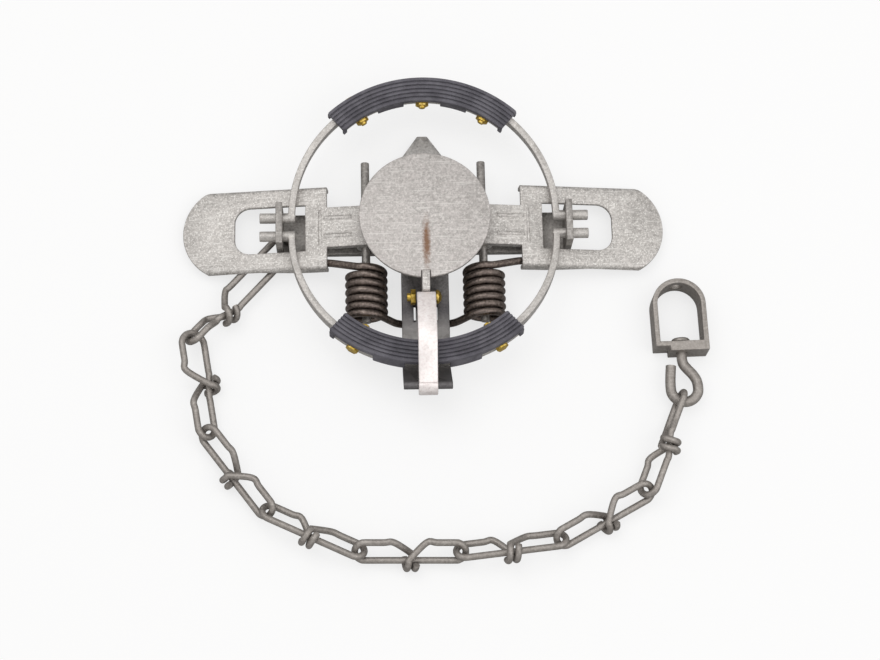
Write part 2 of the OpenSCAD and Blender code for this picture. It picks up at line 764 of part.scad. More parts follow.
// Link i about the middle of its knot, with its joints on X and its straight spine on one side
function link_path(i) = let (
    first_c = i == 0 ? first_half : i == 1 ? first_half + 0.7 : loop_half,
    second_c = i == 7 ? last_half : loop_half,
    first = i == 0 ? loop_path(-1, first_loop_l, first_rolls[0], 0, first_c, first_over)
        : loop_path(-1, link_l / 2, first_rolls[i], 0, first_c, i == 1 ? tip_over + 0.5 : tip_over),
    second_l = i == 0 ? first_tail_l : link_l / 2,
    second = i == 7 ? loop_path(1, second_l, second_rolls[7], chain_z - hook_z, second_c, last_over)
        : loop_path(1, second_l, second_rolls[i], i == 0 ? first_loop_z - chain_z : 0, second_c, tip_over),
    rolls = [first_rolls[i], second_rolls[i]],
    near_wrap = wrap_path(-1, rolls, first[0], second[0]),
    far_wrap = wrap_path(1, rolls, first[0], second[0]))
    concat(reversed(concat(first, near_wrap)), second, far_wrap);

module chain_link(i) {
    color(chain_steel) translate(joint_at(i)) rotate([0, 0, chain_headings[i]])
        translate([i == 0 ? first_loop_l : link_l / 2, 0, i == 0 ? first_loop_z - chain_z : 0])
            tube(link_path(i), chain_wire, chain_sides);
}

echo("least gap of a chain link to itself",
    min([for (i = [0:7]) self_gap(link_path(i), chain_wire)]));

module chain_link_1() {
    chain_link(0);
}

module chain_link_2() {
    chain_link(1);
}

module chain_link_3() {
    chain_link(2);
}

module chain_link_4() {
    chain_link(3);
}

module chain_link_5() {
    chain_link(4);
}

module chain_link_6() {
    chain_link(5);
}

module chain_link_7() {
    chain_link(6);
}

module chain_link_8() {
    chain_link(7);
}

// Swivel, drawn with the middle of the hook's bow at the origin and the strap along +X

module place_swivel() {
    translate([bow_at.x, bow_at.y, hook_z]) rotate([0, 0, swivel_heading]) children();
}

// Middle of the hook bar: free end, bow, and the sweep back to the shank
function hook_path() = [[11.4, bow_r * 0.85, 0], [3, bow_r * 0.99, 0],
    for (a = [100:20:260]) [bow_r * cos(a), bow_r * sin(a), 0],
    [3.2, -bow_r * 0.95, 0], [6.6, -bow_r * 0.7, 0], [9.6, -bow_r * 0.33, 0], [12, -0.5, 0], [14.4, 0, 0]];

module swivel_hook() {
    shank_from = 13.6;
    shank_to = hook_reach + 2 * strap_t + 0.4;
    color(chain_steel) place_swivel() {
        tube(hook_path(), hook_d, 12);
        translate([shank_from, 0, 0]) rotate([0, 90, 0]) cylinder(r = hook_d / 2, h = shank_to - shank_from + eps);
        translate([shank_to, 0, 0]) rotate([0, 90, 0]) cylinder(r = hook_head_r, h = hook_head_h);
    }
}

module strap_outline(grow) {
    translate([0, -strap_inner / 2 - grow]) square([strap_straight, strap_inner + 2 * grow]);
    translate([strap_straight, 0]) circle(r = strap_inner / 2 + grow, $fn = 128);
    translate([-grow, -strap_inner / 2 - grow]) square([grow + 1, strap_inner + 2 * grow]);
}

module swivel_strap() {
    lap = 2 * strap_t;
    color(galvanised) place_swivel() translate([hook_reach + lap, 0, 0]) difference() {
        translate([0, 0, -strap_w / 2]) linear_extrude(strap_w) {
            difference() {
                strap_outline(strap_t);
                strap_outline(0);
            }
            translate([-lap, -strap_outer / 2]) square([strap_t, strap_outer - 7]);
            translate([-lap, -strap_outer / 2]) square([lap, strap_t]);
        }
        rotate([0, 90, 0]) cylinder(r = strap_hole_r, h = 4 * lap, center = true);
        translate([strap_straight, 0, 0]) rotate([0, 90, 0]) cylinder(d = strap_hole_d, h = strap_outer);
    }
}

base_strip();
cross_strip();
centre_rivets();
left_lever();
right_lever();
left_spring_pin();
right_spring_pin();
left_spring();
right_spring();
front_jaw();
rear_jaw();
front_pad();
rear_pad();
front_pad_screws();
rear_pad_screws();
front_pad_nuts();
rear_pad_nuts();
pan();
pan_shank();
pan_bolt();
pan_nut();
dog();
chain_link_1();
chain_link_2();
chain_link_3();
chain_link_4();
chain_link_5();
chain_link_6();
chain_link_7();
chain_link_8();
swivel_hook();
swivel_strap();
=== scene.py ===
"""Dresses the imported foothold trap: plated levers, rubber pads, coil springs, knotted wire chain."""

import json
import math

import bmesh
import bpy
from mathutils import Matrix, Vector


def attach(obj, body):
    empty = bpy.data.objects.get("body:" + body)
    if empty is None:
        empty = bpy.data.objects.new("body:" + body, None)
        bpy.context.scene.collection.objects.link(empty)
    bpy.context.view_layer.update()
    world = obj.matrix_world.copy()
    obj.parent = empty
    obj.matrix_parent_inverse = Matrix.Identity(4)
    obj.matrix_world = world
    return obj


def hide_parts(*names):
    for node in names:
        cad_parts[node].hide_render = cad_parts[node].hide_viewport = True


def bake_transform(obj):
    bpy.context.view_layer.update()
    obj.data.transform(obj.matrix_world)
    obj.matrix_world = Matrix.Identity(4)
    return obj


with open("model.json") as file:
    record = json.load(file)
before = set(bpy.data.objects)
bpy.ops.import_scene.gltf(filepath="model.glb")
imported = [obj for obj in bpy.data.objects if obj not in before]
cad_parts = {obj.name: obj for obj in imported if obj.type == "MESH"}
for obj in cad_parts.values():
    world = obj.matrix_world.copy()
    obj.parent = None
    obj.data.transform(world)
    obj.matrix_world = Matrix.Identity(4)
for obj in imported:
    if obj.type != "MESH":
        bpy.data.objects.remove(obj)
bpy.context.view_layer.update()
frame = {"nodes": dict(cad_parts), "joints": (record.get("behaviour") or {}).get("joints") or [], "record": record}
scene = bpy.context.scene
MM = 0.001

# Springs, and the lever that each upper arm lies under, as in the part's source. Angles here and
# below are in degrees.
SPRING_WIRE = 3.4 * MM
# Drawn a little thick, so that the turns close up to the eye as they do on a wound spring
SPRING_SHOWN = SPRING_WIRE + 0.25 * MM
SPRING_LIFT = 0.3 * MM
COIL_RADIUS = 8.5 * MM
COIL_TURNS = 6
COIL_PITCH = SPRING_WIRE + 0.5 * MM
COIL_FRONT = -21.6 * MM
COIL_START, COIL_STOP = 29, -60
TURN_POINTS = 20
LEVER_WIDE_IN = 18.2 * MM
LEVER_UNDER = 3.75 * MM
LEVER_PLATE = 2 * MM
LEVER_WIDTH = 42.4 * MM
LEVER_SLOPE = 7.38
ARM_BEND = LEVER_WIDE_IN + 0.4 * MM
ARM_END = ARM_BEND + 16 * MM
ARM_BELOW_PLATE = 0.7 * MM
ARM_BESIDE_RAIL = 0.6 * MM
KNEE_EASE = 0.4 * MM
FOOT_RUN_MM = (2.2, 5, 9)

# Chain links, as in the part's source
CHAIN_WIRE = 3.2 * MM
LINK_LENGTH = 47.2 * MM
LOOP_HALF = 4.6 * MM
TIP_OVER = CHAIN_WIRE / 2 + 0.6 * MM
KNOT_HALF = 4.5 * MM
SINK_START = KNOT_HALF + 3 * MM
SINK_STOP = SINK_START + 5 * MM
WRAP_RADIUS = CHAIN_WIRE + 0.7 * MM
WRAP_X = 1.9 * MM
WRAP_DRIFT = 0.012 * MM
WRAP_FROM, WRAP_TO = 60, 265
WRAP_STEPS = 12
TIP_ARC = range(-70, 90, 20)
# Roll of the two loops of each link about its length
LEAN = 38
FIRST_ROLLS = (180, 148, LEAN, -LEAN, LEAN, -LEAN, LEAN, -LEAN)
SECOND_ROLLS = (232, 180 - LEAN, LEAN, -LEAN, LEAN, -LEAN, LEAN, -80)
LINKS = len(FIRST_ROLLS)
# Link 1 hangs on the trap by a long loop, link 2 has a wide loop on it, and link 8 grips the hook
FIRST_LOOP = 41 * MM
FIRST_TAIL = 20.9 * MM
FIRST_HALF = 5.2 * MM
FIRST_OVER = FIRST_HALF + 0.75 * MM
FIRST_Z = 5.15 * MM
SECOND_HALF = FIRST_HALF + 0.7 * MM
SECOND_OVER = TIP_OVER + 0.5 * MM
HOOK_BAR = 5 * MM
HOOK_GRIP = (HOOK_BAR + CHAIN_WIRE) / 2
LAST_HALF = HOOK_GRIP + 0.9 * MM
LAST_OVER = HOOK_GRIP + 0.5 * MM

# Swivel hook: places along it in mm, places across it as shares of the bow's radius
BOW_RADIUS = 6.6 * MM
BOW_ARC = range(100, 280, 20)
HOOK_TIP = ((11.4, 0.85), (7.2, 0.93), (3, 0.99))
HOOK_NECK = ((3.2, -0.95), (6.6, -0.7), (9.6, -0.33))
NECK_END = (12 * MM, -0.5 * MM)
HOOK_SHANK_MM = (14.4, 17, 20, 22.6)
HOOK_REACH = 17.4 * MM
STRAP_BAND = 2.4 * MM
# Its head inside the strap: places along it in mm, radii as shares of the full one
HEAD_START = HOOK_REACH + 2 * STRAP_BAND + 0.4 * MM
HEAD_RADIUS = HOOK_BAR / 2 + 2 * MM
HEAD_RINGS = ((0, 0.86), (0.35, 1), (1.3, 1), (2.0, 0.86), (2.4, 0.55))
HEAD_SIDES = 32

# Rubber pads, as in the part's source, with rounded ribs
JAW_TILT = 7
PAD_MID = 63.1 * MM
PAD_WIDTH = 11.8 * MM
PAD_INNER, PAD_OUTER = PAD_MID - PAD_WIDTH / 2, PAD_MID + PAD_WIDTH / 2
PAD_FACE = 4.4 * MM
PAD_UNDER = 1.6 * MM
PAD_HEM = -3.8 * MM
PAD_HALF = 42
PAD_STEPS = 84
PAD_GROOVES = 5
GROOVE_WIDTH = 0.7 * MM
GROOVE_DEPTH = 0.9 * MM
RIB_ROUND = 0.42 * MM
FLANGE = 1.1 * MM
FLANGE_LAP = 0.4 * MM
FLANGE_STEP = 1.2
SCREW_ANGLES = (-31, 0, 31)
WINDOW_HALF = 9
# The ends are drawn in to this share of the section, over these angles
END_SHARE = 0.93
PAD_EASE, FLANGE_EASE = 0.6, 0.3

# Edges of the stamped pieces
MERGE_GAP = 0.002 * MM
FLAT_BELOW = math.radians(1)
EASED_ABOVE = math.radians(35)
EDGE_SEGMENTS = 2
SMOOTH_BELOW = math.radians(40)


def joint(name):
    """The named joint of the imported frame."""
    return next(j for j in frame["joints"] if j["name"] == name)


def joint_point(name):
    """Where the named joint lies at rest."""
    return Vector(joint(name)["pos_m"])


# Materials

# Repeats per metre of a pattern are this over its size in mm
PER_METRE = 1000
# Sockets of a Mix node that mixes colours
MIX_SHARE, MIX_FROM, MIX_TO, MIX_RESULT = 0, 6, 7, 2

# Real plating grain is finer than a pixel, so grit and frost are drawn coarse enough to show
GRIT_MM, FROST_MM = 1.1, 0.75
GRIT_SHARE, FLECK_SHARE, BLOTCH_SHARE = 0.9, 0.32, 0.35
MOTTLE_BASE = 0.37
# Marks rubbed along the levers, about 14 mm long and 0.6 mm wide, as repeats per metre, and their
# slant in radians
SCRATCH_SCALE, SCRATCH_SLANT = (70, 1800, 600), (0, 0, 0.06)
RUBBED_WHITE = "#f0eeea"
METAL_BUMP = 0.5
# The weld's streak on the pan. Its height is so large that only the place on the disc counts.
STREAK_CENTRE = Vector((0.6, -13, 0)) * MM
STREAK_HALF = Vector((2.3, 14.5, 1000)) * MM
# The stretch of the cross strip that carries scale and painted shade, and how far its borders wander
SCALE_AND_SHADE_FRONT, SCALE_AND_SHADE_REAR = -80 * MM, 40 * MM
SCALE_AND_SHADE_WANDER = 12 * MM

DUST_MM, MOULD_GRAIN_MM = 9, 0.6
MOULD_GRAIN_SHARE = 0.35
MOULD_BUMP, MOULD_BUMP_DEPTH = 0.45, 0.12 * MM


def linear(hex_colour):
    """An sRGB hex colour as linear RGBA."""
    parts = [int(hex_colour[i:i + 2], 16) / 255 for i in (1, 3, 5)]
    return tuple(c / 12.92 if c <= 0.04045 else ((c + 0.055) / 1.055) ** 2.4 for c in parts) + (1.0,)


def add(tree, kind, inputs=None, stops=(), **settings):
    """Adds a node, sets its attributes, links or fills its inputs, and sets a colour ramp's stops."""
    made = tree.nodes.new(kind)
    for key, value in settings.items():
        setattr(made, key, value)
    for key, value in (inputs or {}).items():
        if isinstance(value, bpy.types.NodeSocket):
            tree.links.new(value, made.inputs[key])
        else:
            made.inputs[key].default_value = value
    for i, (place, colour) in enumerate(stops):
        elements = made.color_ramp.elements
        element = elements[i] if i < len(elements) else elements.new(place)
        element.position = place
        element.color = linear(colour)
    return made


def blank_material(name):
    """A material without nodes, and its tree."""
    material = bpy.data.materials.new(name)
    material.use_nodes = True
    tree = material.node_tree
    tree.nodes.clear()
    return material, tree


def mottled_metal(name, stops, blotch_mm, fleck_mm, scratch, roughness, bump_mm, metallic=1.0,
                  frost=0.0, stain_and_shade=None):
    """A worn metal: soft blotches, crystal flecks, rubbed scratches and frosty specks."""
    material, tree = blank_material(name)
    coords = add(tree, "ShaderNodeTexCoord").outputs["Object"]

    # Mottle: blotches, flecks and grit in one value, which picks the colour
    blotch = add(tree, "ShaderNodeTexNoise", {"Vector": coords, "Scale": PER_METRE / blotch_mm,
                                              "Detail": 4.0, "Roughness": 0.6}).outputs["Fac"]
    fleck = add(tree, "ShaderNodeTexVoronoi", {"Vector": coords,
                                               "Scale": PER_METRE / fleck_mm}).outputs["Color"]
    fleck = add(tree, "ShaderNodeRGBToBW", {"Color": fleck}).outputs["Val"]
    grit = add(tree, "ShaderNodeTexNoise", {"Vector": coords, "Scale": PER_METRE / GRIT_MM,
                                            "Detail": 3.0}).outputs["Fac"]
    flecked = add(tree, "ShaderNodeMath", {0: fleck, 1: FLECK_SHARE}, operation="MULTIPLY").outputs[0]
    gritty = add(tree, "ShaderNodeMath", {0: grit, 1: GRIT_SHARE, 2: flecked},
                 operation="MULTIPLY_ADD").outputs[0]
    mottle = add(tree, "ShaderNodeMath", {0: blotch, 1: BLOTCH_SHARE, 2: gritty},
                 operation="MULTIPLY_ADD").outputs[0]
    shade = add(tree, "ShaderNodeMath", {0: mottle, 1: MOTTLE_BASE}, operation="SUBTRACT").outputs[0]
    colour = add(tree, "ShaderNodeValToRGB", {"Fac": shade}, stops=stops).outputs["Color"]

    # Bright marks: scratches, and specks where the plating is frosted
    slanted = add(tree, "ShaderNodeMapping", {"Vector": coords, "Scale": SCRATCH_SCALE,
                                              "Rotation": SCRATCH_SLANT}).outputs["Vector"]
    rubbed = add(tree, "ShaderNodeTexNoise", {"Vector": slanted, "Scale": 1.0,
                                              "Detail": 2.0}).outputs["Fac"]
    bright = add(tree, "ShaderNodeMapRange", {"Value": rubbed, "From Min": 0.6, "From Max": 0.66,
                                              "To Min": 0.0, "To Max": scratch}).outputs["Result"]
    if frost:
        grain = add(tree, "ShaderNodeTexNoise", {"Vector": coords, "Scale": PER_METRE / FROST_MM,
                                                 "Detail": 1.0}).outputs["Fac"]
        specks = add(tree, "ShaderNodeMapRange", {"Value": grain, "From Min": 0.54, "From Max": 0.68,
                                                  "To Min": 0.0, "To Max": frost}).outputs["Result"]
        bright = add(tree, "ShaderNodeMath", {0: bright, 1: specks}, operation="MAXIMUM").outputs[0]
    colour = add(tree, "ShaderNodeMix", {MIX_SHARE: bright, MIX_FROM: colour,
                                         MIX_TO: linear(RUBBED_WHITE)},
                 data_type="RGBA").outputs[MIX_RESULT]
    # Laid over the colour: the weld's stain on the pan, and scale with painted shade on the cross strip
    if stain_and_shade:
        mask, stain_and_shade_colour = stain_and_shade(tree, coords, grit)
        colour = add(tree, "ShaderNodeMix", {MIX_SHARE: mask, MIX_FROM: colour,
                                             MIX_TO: linear(stain_and_shade_colour)},
                     data_type="RGBA").outputs[MIX_RESULT]

    rough = add(tree, "ShaderNodeMapRange", {"Value": mottle, "From Min": 0.3, "From Max": 0.9,
                                             "To Min": roughness - 0.08,
                                             "To Max": roughness + 0.1}).outputs["Result"]
    bump = add(tree, "ShaderNodeBump", {"Height": gritty, "Strength": METAL_BUMP,
                                        "Distance": bump_mm * MM}).outputs["Normal"]
    shader = add(tree, "ShaderNodeBsdfPrincipled", {"Base Color": colour, "Roughness": rough,
                                                    "Metallic": metallic, "Normal": bump})
    add(tree, "ShaderNodeOutputMaterial", {"Surface": shader.outputs[0]})
    return material


def weld_streak(tree, coords, grit):
    """The brown heat mark that the shank's weld leaves on the pan, as a mask, and its colour."""
    offset = add(tree, "ShaderNodeVectorMath", {0: coords, 1: STREAK_CENTRE},
                 operation="SUBTRACT").outputs[0]
    spread = add(tree, "ShaderNodeVectorMath", {0: offset, 1: STREAK_HALF},
                 operation="DIVIDE").outputs[0]
    reach = add(tree, "ShaderNodeVectorMath", {0: spread}, operation="LENGTH").outputs["Value"]
    ragged = add(tree, "ShaderNodeMath", {0: grit, 1: 0.9, 2: reach},
                 operation="MULTIPLY_ADD").outputs[0]
    mask = add(tree, "ShaderNodeMapRange", {"Value": ragged, "From Min": 0.75, "From Max": 1.5,
                                            "To Min": 0.85, "To Max": 0.0}).outputs["Result"]
    return mask, "#7a5230"


def mill_scale_and_painted_shade(tree, coords, grit):
    """Blue-black scale and painted shade as a mask, and its colour: painted shadow just in front of the pan and
    under the front pad, thin at the rear tip, and a thin, painted light band where the springs end.
    """
    rearward = add(tree, "ShaderNodeSeparateXYZ", {"Vector": coords}).outputs["Y"]
    ragged = add(tree, "ShaderNodeMath", {0: grit, 1: SCALE_AND_SHADE_WANDER, 2: rearward},
                 operation="MULTIPLY_ADD").outputs[0]
    along = add(tree, "ShaderNodeMapRange", {"Value": ragged, "From Min": SCALE_AND_SHADE_FRONT,
                                             "From Max": SCALE_AND_SHADE_REAR}).outputs["Result"]
    # Along the strip: heavy scale with painted shadow under the front pad, a thin, painted light band where the
    # springs end, heavy scale with painted shadow just in front of the pan, and thin scale to the rear tip
    scale_and_shade_cover = [(0.1, "#e0e0e0"), (0.26, "#7c7c7c"), (0.38, "#eeeeee"), (0.7, "#404040")]
    mask = add(tree, "ShaderNodeValToRGB", {"Fac": along}, stops=scale_and_shade_cover).outputs["Color"]
    return mask, "#3f3c42"


def moulded_rubber():
    """Moulded black rubber: matt, slightly dusty, with a fine grain from the mould."""
    material, tree = blank_material("moulded_rubber")
    coords = add(tree, "ShaderNodeTexCoord").outputs["Object"]
    dust = add(tree, "ShaderNodeTexNoise", {"Vector": coords, "Scale": PER_METRE / DUST_MM,
                                            "Detail": 5.0, "Roughness": 0.65}).outputs["Fac"]
    grain = add(tree, "ShaderNodeTexNoise", {"Vector": coords, "Scale": PER_METRE / MOULD_GRAIN_MM,
                                             "Detail": 2.0}).outputs["Fac"]
    shade = add(tree, "ShaderNodeMath", {0: grain, 1: MOULD_GRAIN_SHARE, 2: dust},
                operation="MULTIPLY_ADD").outputs[0]
    greys = [(0.35, "#3e3d42"), (0.62, "#55535a"), (0.85, "#6b6970")]
    colour = add(tree, "ShaderNodeValToRGB", {"Fac": shade}, stops=greys).outputs["Color"]
    bump = add(tree, "ShaderNodeBump", {"Height": grain, "Strength": MOULD_BUMP,
                                        "Distance": MOULD_BUMP_DEPTH}).outputs["Normal"]
    shader = add(tree, "ShaderNodeBsdfPrincipled", {"Base Color": colour, "Roughness": 0.68,
                                                    "Specular IOR Level": 0.4, "Normal": bump})
    add(tree, "ShaderNodeOutputMaterial", {"Surface": shader.outputs[0]})
    return material


# Zinc-plated sheet: pale grey, cloudy and frosted, with small crystal flecks and rubbed marks
ZINC_SHEET = mottled_metal(
    "zinc_plated_sheet", [(0.14, "#a29e9a"), (0.42, "#bfbbb7"), (0.7, "#d9d5d1")],
    blotch_mm=14, fleck_mm=1.6, scratch=0.5, roughness=0.5, bump_mm=0.06, metallic=0.8, frost=0.7)
# The same plating on the pan, less frosted, with the brown heat mark of the weld under it
ZINC_PAN = mottled_metal(
    "zinc_plated_pan", [(0.14, "#a19d99"), (0.42, "#bdb8b5"), (0.7, "#d5d0cd")],
    blotch_mm=18, fleck_mm=1.3, scratch=0.4, roughness=0.52, bump_mm=0.06, metallic=0.8, frost=0.35,
    stain_and_shade=weld_streak)
# Zinc-plated bar, smoother than the sheet: the jaws
ZINC_BAR = mottled_metal(
    "zinc_plated_bar", [(0.12, "#a5a19c"), (0.42, "#bfbbb7"), (0.72, "#d5d1cc")],
    blotch_mm=11, fleck_mm=1.4, scratch=0.2, roughness=0.48, bump_mm=0.06, metallic=0.8, frost=0.4)
# Bright drawn strip with a smooth, nearly white sheen: the dog
BRIGHT_STRIP = mottled_metal(
    "bright_drawn_strip", [(0.12, "#e6dddb"), (0.42, "#f8f1ef"), (0.72, "#fffbfa")],
    blotch_mm=10, fleck_mm=2.2, scratch=0.3, roughness=0.46, bump_mm=0.05, metallic=0.75)
# Hot-rolled strip: dull grey under blue-black scale, with painted shade in the scale's mask along the cross strip
ROLLED_STRIP = mottled_metal(
    "hot_rolled_strip", [(0.12, "#94918e"), (0.42, "#b5b2af"), (0.72, "#cfccc9")],
    blotch_mm=16, fleck_mm=2.0, scratch=0.22, roughness=0.5, bump_mm=0.08, metallic=0.85,
    stain_and_shade=mill_scale_and_painted_shade)
# The same strip rubbed free of scale, an even mid grey: base strip and spring pins
RUBBED_STRIP = mottled_metal(
    "rubbed_strip", [(0.12, "#7d7976"), (0.42, "#9f9b97"), (0.72, "#c0bcb8")],
    blotch_mm=12, fleck_mm=1.6, scratch=0.22, roughness=0.48, bump_mm=0.08, metallic=0.85)
# Oil-tempered spring wire: near black brown, smooth and a little oily
SPRING_STEEL = mottled_metal(
    "oil_tempered_wire", [(0.12, "#564d49"), (0.42, "#766b65"), (0.72, "#9a8e85")],
    blotch_mm=6, fleck_mm=1.0, scratch=0.06, roughness=0.36, bump_mm=0.04)
# Drawn low-carbon wire: smooth, dull grey with a brown cast
CHAIN_STEEL = mottled_metal(
    "drawn_chain_wire", [(0.12, "#8d8882"), (0.42, "#a09a95"), (0.72, "#b4afa9")],
    blotch_mm=8, fleck_mm=1.2, scratch=0.08, roughness=0.46, bump_mm=0.05, metallic=0.85)
# Yellow brass screws and nuts, slightly tarnished in patches
YELLOW_BRASS = mottled_metal(
    "yellow_brass", [(0.1, "#ad8c3c"), (0.42, "#dfbd58"), (0.75, "#f6e196")],
    blotch_mm=4, fleck_mm=0.9, scratch=0.1, roughness=0.36, bump_mm=0.05)
RUBBER = moulded_rubber()


# Pieces


def shade_smooth(mesh):
    """Smooth shading that keeps the sharp edges."""
    mesh.polygons.foreach_set("use_smooth", [True] * len(mesh.polygons))
    mesh.set_sharp_from_angle(angle=SMOOTH_BELOW)


def new_piece(name, mesh, material):
    """A finished piece at the origin, with one material."""
    mesh.materials.clear()
    mesh.materials.append(material)
    shade_smooth(mesh)
    piece = bpy.data.objects.new(name, mesh)
    scene.collection.objects.link(piece)
    return piece


def body_of(node):
    """The body that carries the node."""
    bodies = frame["record"]["behaviour"]["bodies"]
    return next(body for body, nodes in bodies.items() if node in nodes)


def stand_for(piece, node):
    """Lets the piece move with the node's body and stand for it."""
    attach(piece, body_of(node))
    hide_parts(node)


def eased_edges(node, material, edge_mm):
    """The node's own shape with its edges eased, as stamping and plating leave them."""
    mesh = frame["nodes"][node].data.copy()
    mesh.name = node + "_eased"
    shape = bmesh.new()
    shape.from_mesh(mesh)
    bmesh.ops.remove_doubles(shape, verts=shape.verts, dist=MERGE_GAP)
    bmesh.ops.dissolve_limit(shape, angle_limit=FLAT_BELOW, verts=shape.verts, edges=shape.edges,
                             use_dissolve_boundaries=False)
    corners = [e for e in shape.edges
               if len(e.link_faces) == 2 and e.calc_face_angle() > EASED_ABOVE]
    bmesh.ops.bevel(shape, geom=corners, offset=edge_mm * MM, offset_type="OFFSET",
                    segments=EDGE_SEGMENTS, profile=0.5, affect="EDGES", clamp_overlap=False)
    shape.to_mesh(mesh)
    shape.free()
    stand_for(new_piece(node + "_eased", mesh, material), node)


def wire_tree():
    """Geometry nodes that draw a round wire along a path of points."""
    tree = bpy.data.node_groups.new("bent_wire", "GeometryNodeTree")
    for name, kind in (("Path", "Geometry"), ("Wire Diameter", "Float"), ("Steps", "Int"),
                       ("Sides", "Int"), ("Finish", "Material")):
        tree.interface.new_socket(name, in_out="INPUT", socket_type="NodeSocket" + kind)
    tree.interface.new_socket("Wire", in_out="OUTPUT", socket_type="NodeSocketGeometry")
    given = add(tree, "NodeGroupInput").outputs
    radius = add(tree, "ShaderNodeMath", {0: given["Wire Diameter"], 1: 0.5},
                 operation="MULTIPLY").outputs[0]
    line = add(tree, "GeometryNodeMeshToCurve", {"Mesh": given["Path"]}).outputs["Curve"]
    line = add(tree, "GeometryNodeCurveSplineType", {"Curve": line},
               spline_type="CATMULL_ROM").outputs["Curve"]
    line = add(tree, "GeometryNodeSetSplineResolution", {0: line,
                                                         "Resolution": given["Steps"]}).outputs[0]
    ring = add(tree, "GeometryNodeCurvePrimitiveCircle", {"Resolution": given["Sides"],
                                                          "Radius": radius}).outputs[0]
    wire = add(tree, "GeometryNodeCurveToMesh", {"Curve": line, "Profile Curve": ring,
                                                 "Fill Caps": True}).outputs[0]
    wire = add(tree, "GeometryNodeRealizeInstances", {0: wire}).outputs[0]
    wire = add(tree, "GeometryNodeSetMaterial", {"Geometry": wire,
                                                 "Material": given["Finish"]}).outputs[0]
    add(tree, "NodeGroupOutput", {"Wire": wire})
    return tree


WIRE_TREE = wire_tree()


def bent_wire(name, path, diameter, material, steps=5, sides=18):
    """A round wire through the points of a path."""
    line = bpy.data.meshes.new(name + "_path")
    line.from_pydata([tuple(p) for p in path], [(i, i + 1) for i in range(len(path) - 1)], [])
    carrier = bpy.data.objects.new(name + "_path", line)
    scene.collection.objects.link(carrier)
    modifier = carrier.modifiers.new("wire", "NODES")
    modifier.node_group = WIRE_TREE
    given = {"Wire Diameter": diameter, "Steps": steps, "Sides": sides, "Finish": material}
    for socket in WIRE_TREE.interface.items_tree:
        if socket.in_out == "INPUT" and socket.name in given:
            modifier[socket.identifier] = given[socket.name]
    bpy.context.view_layer.update()
    drawn = carrier.evaluated_get(bpy.context.evaluated_depsgraph_get())
    mesh = bpy.data.meshes.new_from_object(drawn)
    mesh.name = name
    bpy.data.objects.remove(carrier)
    return new_piece(name, mesh, material)


# Springs


def spring_path(pin):
    """The right spring about its pin: lever arm, coil, and the arm under the cross strip."""
    coil_z = COIL_RADIUS + SPRING_WIRE / 2 + SPRING_LIFT
    slope = math.radians(LEVER_SLOPE)

    def coil(angle):
        turn = math.radians(angle)
        return Vector((COIL_RADIUS * math.sin(turn),
                       COIL_FRONT - COIL_PITCH * (COIL_START - angle) / 360,
                       COIL_RADIUS * math.cos(turn)))

    def under_plate(x):
        drop = SPRING_WIRE / 2 / math.cos(slope) + ARM_BELOW_PLATE
        return pin.z - coil_z + LEVER_UNDER / math.cos(slope) - x * math.tan(slope) - drop

    arm_y = -LEVER_WIDTH / 2 + LEVER_PLATE + SPRING_WIRE / 2 + ARM_BESIDE_RAIL
    bend = Vector((ARM_BEND, arm_y, under_plate(ARM_BEND)))
    end = Vector((ARM_END, arm_y, under_plate(ARM_END)))
    begin, leave = coil(COIL_START), coil(COIL_STOP - 360 * COIL_TURNS)
    stop = math.radians(COIL_STOP)
    down = Vector((-math.cos(stop), 0, math.sin(stop)))
    low = SPRING_WIRE / 2 + SPRING_LIFT - coil_z
    knee = leave + down * ((low - leave.z) / down.z)

    # Points close to the bend and the knee keep them tight
    path = [end, end.lerp(bend, 0.6), bend.lerp(end, 0.16), bend.lerp(begin, 0.12),
            begin.lerp(bend, 0.4)]
    whole_turn = COIL_START - COIL_STOP + 360 * COIL_TURNS
    steps = COIL_TURNS * TURN_POINTS
    path += [coil(COIL_START - whole_turn * i / steps) for i in range(steps + 1)]
    path += [leave.lerp(knee, 0.55), leave.lerp(knee, 0.85) - Vector((KNEE_EASE, 0, 0))]
    path += [Vector((knee.x - x * MM, knee.y, low)) for x in FOOT_RUN_MM]
    return [p + Vector((pin.x, 0, coil_z)) for p in path]


right_pin = joint_point("right_lever_pivot")
for side, word in ((1, "right"), (-1, "left")):
    path = [Vector((side * p.x, p.y, p.z)) for p in spring_path(right_pin)]
    spring = bent_wire(word + "_coil_spring", path, SPRING_SHOWN, SPRING_STEEL, steps=3)
    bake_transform(spring)
    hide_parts(word + "_spring")


# Chain: eight knotted links, then the hook of the swivel


def on_circle(radius, angle):
    """A point at an angle in degrees on a circle round the origin."""
    return radius * math.cos(math.radians(angle)), radius * math.sin(math.radians(angle))


def across(x, s, roll):
    """A point of a loop: x along the link, s across the loop, turned about X by its roll."""
    return Vector((x, *on_circle(s, roll)))


def loop_path(side, length, roll, drop, half, over):
    """One loop of a link, from its spine round the tip and back, sunk by drop after the knot."""
    arc_x = length + over - half
    flat = [(x, -half) for x in (KNOT_HALF, SINK_START, SINK_STOP, arc_x)]
    flat += [(arc_x + x, y) for x, y in (on_circle(half, a) for a in TIP_ARC)]
    flat += [(x, half) for x in (arc_x, SINK_STOP, SINK_START)]
    points = []
    for x, y in flat:
        sunk = min(1, max(0, x - SINK_START) / (SINK_STOP - SINK_START))
        points.append(across(side * x, y, roll) - Vector((0, 0, drop * sunk)))
    return points


